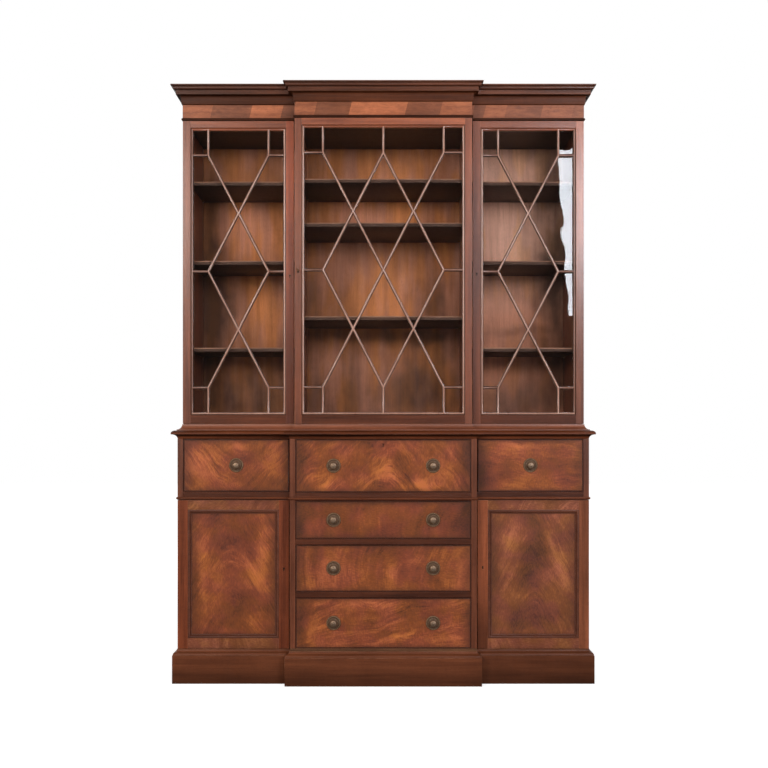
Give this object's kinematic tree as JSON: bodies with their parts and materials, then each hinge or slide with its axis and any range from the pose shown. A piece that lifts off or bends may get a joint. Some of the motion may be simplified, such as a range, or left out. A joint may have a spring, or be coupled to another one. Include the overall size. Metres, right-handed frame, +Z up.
{
  "type": "breakfront bookcase",
  "caption": "Breakfront bookcase: glazed upper case with latticed doors and shelves, on a base of drawers and panelled cupboards with a moulded plinth.",
  "frame": {"origin": "on the floor under the middle of the overall box", "axes": "+Z up, the front faces -Y, +X to the right as seen from the front"},
  "size_m": [1.514, 0.4478, 2.1341],
  "materials": {
    "mahogany": "old polished mahogany, satin",
    "mahogany_veneer": "flame mahogany veneer, polished",
    "inner_wood": "plain brown wood, dull",
    "glass": "clear",
    "aged_brass": "darkened by age"
  },
  "bodies": {
    "carcass": {"base_back": "inner_wood", "base_bottom_board": "inner_wood", "base_partition_left": "mahogany", "base_partition_right": "mahogany", "base_side_left": "mahogany", "base_side_right": "mahogany", "base_top": "mahogany", "centre_mid_rail": "mahogany", "centre_rail_lower": "mahogany", "centre_rail_upper": "mahogany", "cornice": "mahogany", "mid_band": "mahogany", "plinth": "mahogany", "shelf_centre_1": "inner_wood", "shelf_centre_2": "inner_wood", "shelf_centre_3": "inner_wood", "shelf_left_1": "inner_wood", "shelf_left_2": "inner_wood", "shelf_left_3": "inner_wood", "shelf_right_1": "inner_wood", "shelf_right_2": "inner_wood", "shelf_right_3": "inner_wood", "upper_back": "inner_wood", "upper_bottom_board": "inner_wood", "upper_partition_left": "mahogany", "upper_partition_right": "mahogany", "upper_side_left": "mahogany", "upper_side_right": "mahogany", "upper_top_board": "inner_wood", "wing_mid_rail_left": "mahogany", "wing_mid_rail_right": "mahogany"},
    "upper_door_left": {"upper_door_left_frame": "mahogany", "upper_door_left_glass": "glass", "upper_door_left_glazing_bars": "mahogany"},
    "upper_door_centre": {"upper_door_centre_frame": "mahogany", "upper_door_centre_glass": "glass", "upper_door_centre_glazing_bars": "mahogany"},
    "upper_door_right": {"upper_door_right_frame": "mahogany", "upper_door_right_glass": "glass", "upper_door_right_glazing_bars": "mahogany"},
    "lower_door_left": {"lower_door_left_frame": "mahogany", "lower_door_left_panel": "mahogany_veneer"},
    "lower_door_right": {"lower_door_right_frame": "mahogany", "lower_door_right_panel": "mahogany_veneer"},
    "wing_drawer_left": {"wing_drawer_left": "mahogany_veneer", "pull_wing_left": "aged_brass"},
    "wing_drawer_right": {"wing_drawer_right": "mahogany_veneer", "pull_wing_right": "aged_brass"},
    "centre_drawer_1": {"centre_drawer_1": "mahogany_veneer", "pull_centre_1_left": "aged_brass", "pull_centre_1_right": "aged_brass"},
    "centre_drawer_2": {"centre_drawer_2": "mahogany_veneer", "pull_centre_2_left": "aged_brass", "pull_centre_2_right": "aged_brass"},
    "centre_drawer_3": {"centre_drawer_3": "mahogany_veneer", "pull_centre_3_left": "aged_brass", "pull_centre_3_right": "aged_brass"},
    "centre_drawer_4": {"centre_drawer_4": "mahogany_veneer", "pull_centre_4_left": "aged_brass", "pull_centre_4_right": "aged_brass"}
  },
  "joints": [
    {"name": "upper_door_left_hinge", "type": "hinge", "parent": "carcass", "child": "upper_door_left", "pos_m": [-0.719, -0.1181, 0.9251], "axis": [0, 0, -1], "range_deg": [0, 115]},
    {"name": "upper_door_centre_hinge", "type": "hinge", "parent": "carcass", "child": "upper_door_centre", "pos_m": [0.315, -0.1631, 0.9251], "axis": [0, 0, 1], "range_deg": [0, 100]},
    {"name": "upper_door_right_hinge", "type": "hinge", "parent": "carcass", "child": "upper_door_right", "pos_m": [0.719, -0.1181, 0.9251], "axis": [0, 0, 1], "range_deg": [0, 115]},
    {"name": "lower_door_left_hinge", "type": "hinge", "parent": "carcass", "child": "lower_door_left", "pos_m": [-0.735, -0.1341, 0.122], "axis": [0, 0, -1], "range_deg": [0, 115]},
    {"name": "lower_door_right_hinge", "type": "hinge", "parent": "carcass", "child": "lower_door_right", "pos_m": [0.735, -0.1341, 0.122], "axis": [0, 0, 1], "range_deg": [0, 115]},
    {"name": "wing_drawer_left_slide", "type": "slide", "parent": "carcass", "child": "wing_drawer_left", "axis": [0, -1, 0], "range_m": [0, 0.28]},
    {"name": "wing_drawer_right_slide", "type": "slide", "parent": "carcass", "child": "wing_drawer_right", "axis": [0, -1, 0], "range_m": [0, 0.28]},
    {"name": "centre_drawer_1_slide", "type": "slide", "parent": "carcass", "child": "centre_drawer_1", "axis": [0, -1, 0], "range_m": [0, 0.28]},
    {"name": "centre_drawer_2_slide", "type": "slide", "parent": "carcass", "child": "centre_drawer_2", "axis": [0, -1, 0], "range_m": [0, 0.28]},
    {"name": "centre_drawer_3_slide", "type": "slide", "parent": "carcass", "child": "centre_drawer_3", "axis": [0, -1, 0], "range_m": [0, 0.28]},
    {"name": "centre_drawer_4_slide", "type": "slide", "parent": "carcass", "child": "centre_drawer_4", "axis": [0, -1, 0], "range_m": [0, 0.28]}
  ]
}
